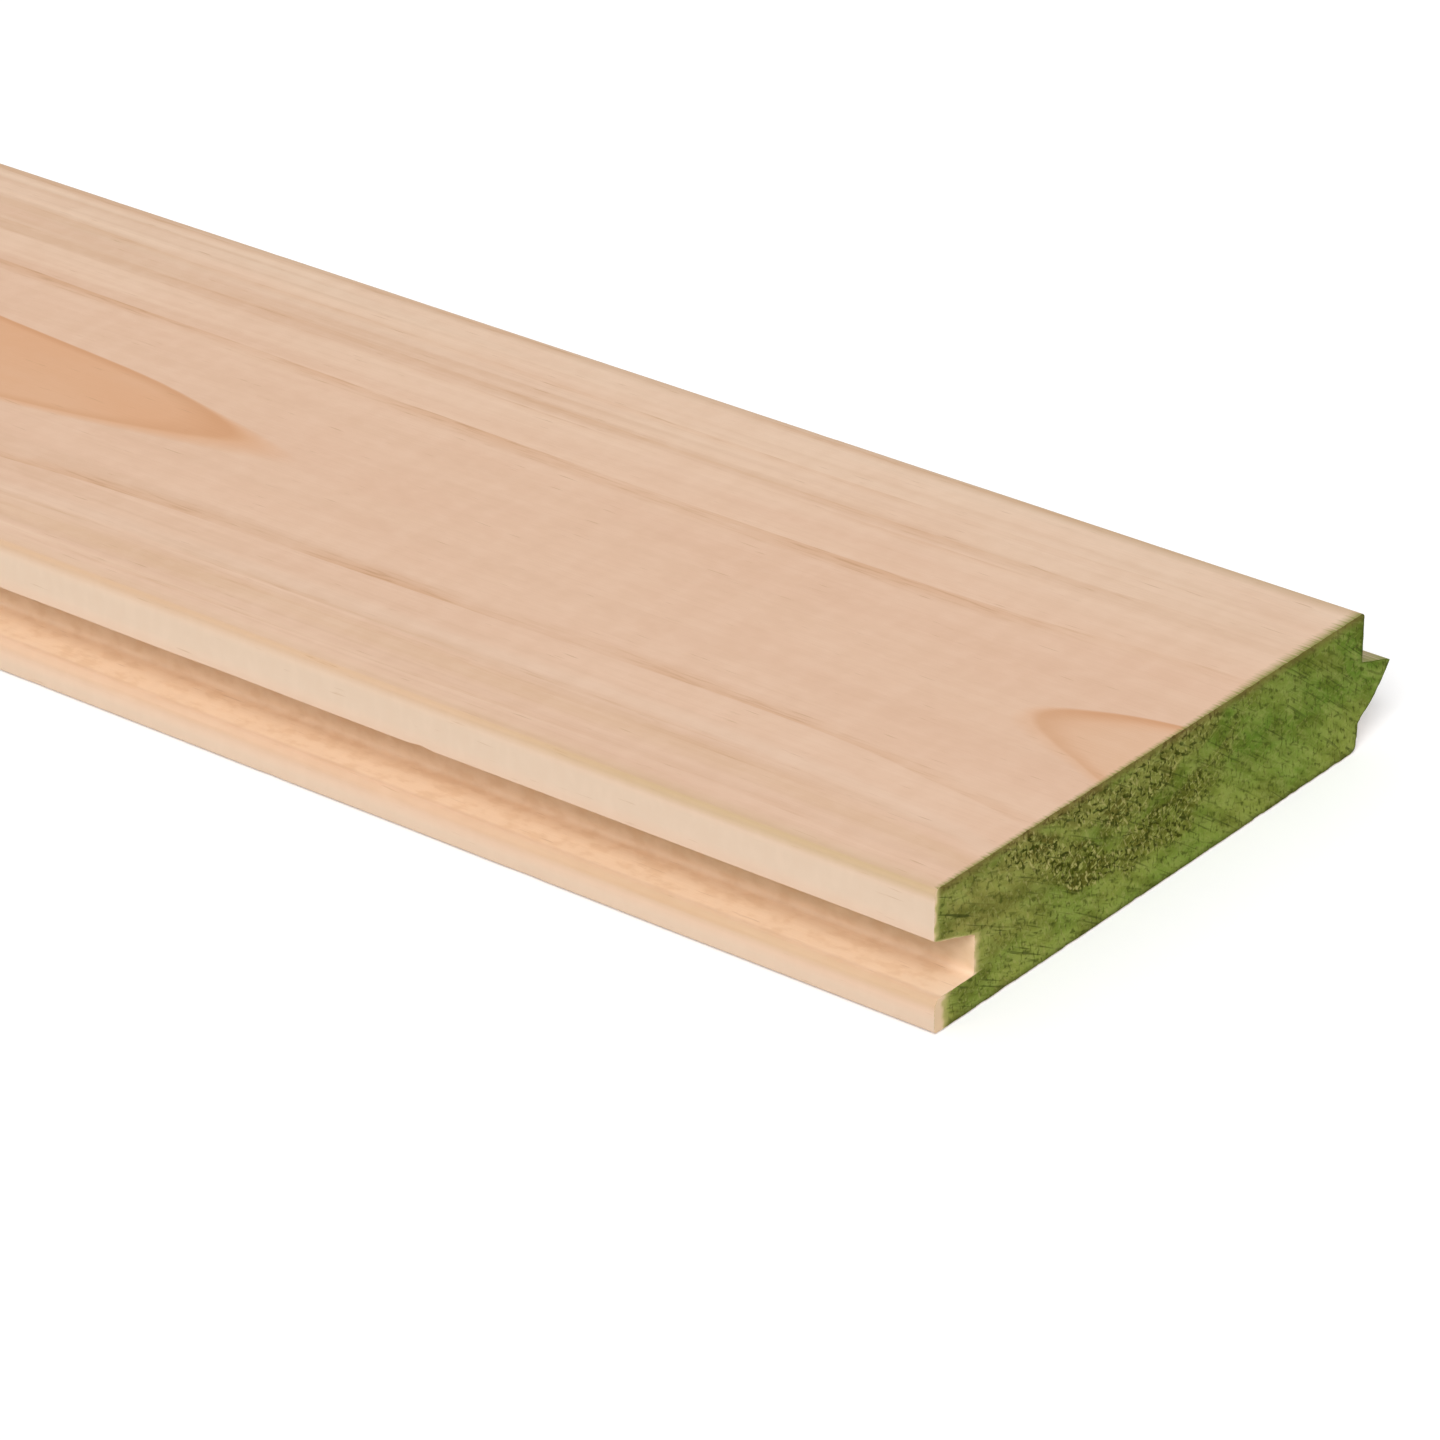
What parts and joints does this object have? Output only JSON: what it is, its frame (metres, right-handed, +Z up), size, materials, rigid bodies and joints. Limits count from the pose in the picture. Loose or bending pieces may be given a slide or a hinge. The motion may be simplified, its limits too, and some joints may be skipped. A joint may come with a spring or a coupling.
{
  "type": "tongue-and-groove floorboard",
  "caption": "Planed softwood floorboard of constant section, with a bevelled tongue along one edge, a groove along the other and a painted sawn end.",
  "frame": {"origin": "on the underside, at the middle of the length and of the overall width, tongue included", "axes": "+X along the board towards the painted end, +Y out of the tongue edge, +Z up out of the walking face"},
  "size_m": [1.8, 0.121, 0.024],
  "materials": {
    "planed_softwood": "planed bare softwood with green paint on one sawn end"
  },
  "bodies": {
    "root": {"floorboard": "planed_softwood"}
  },
  "joints": []
}
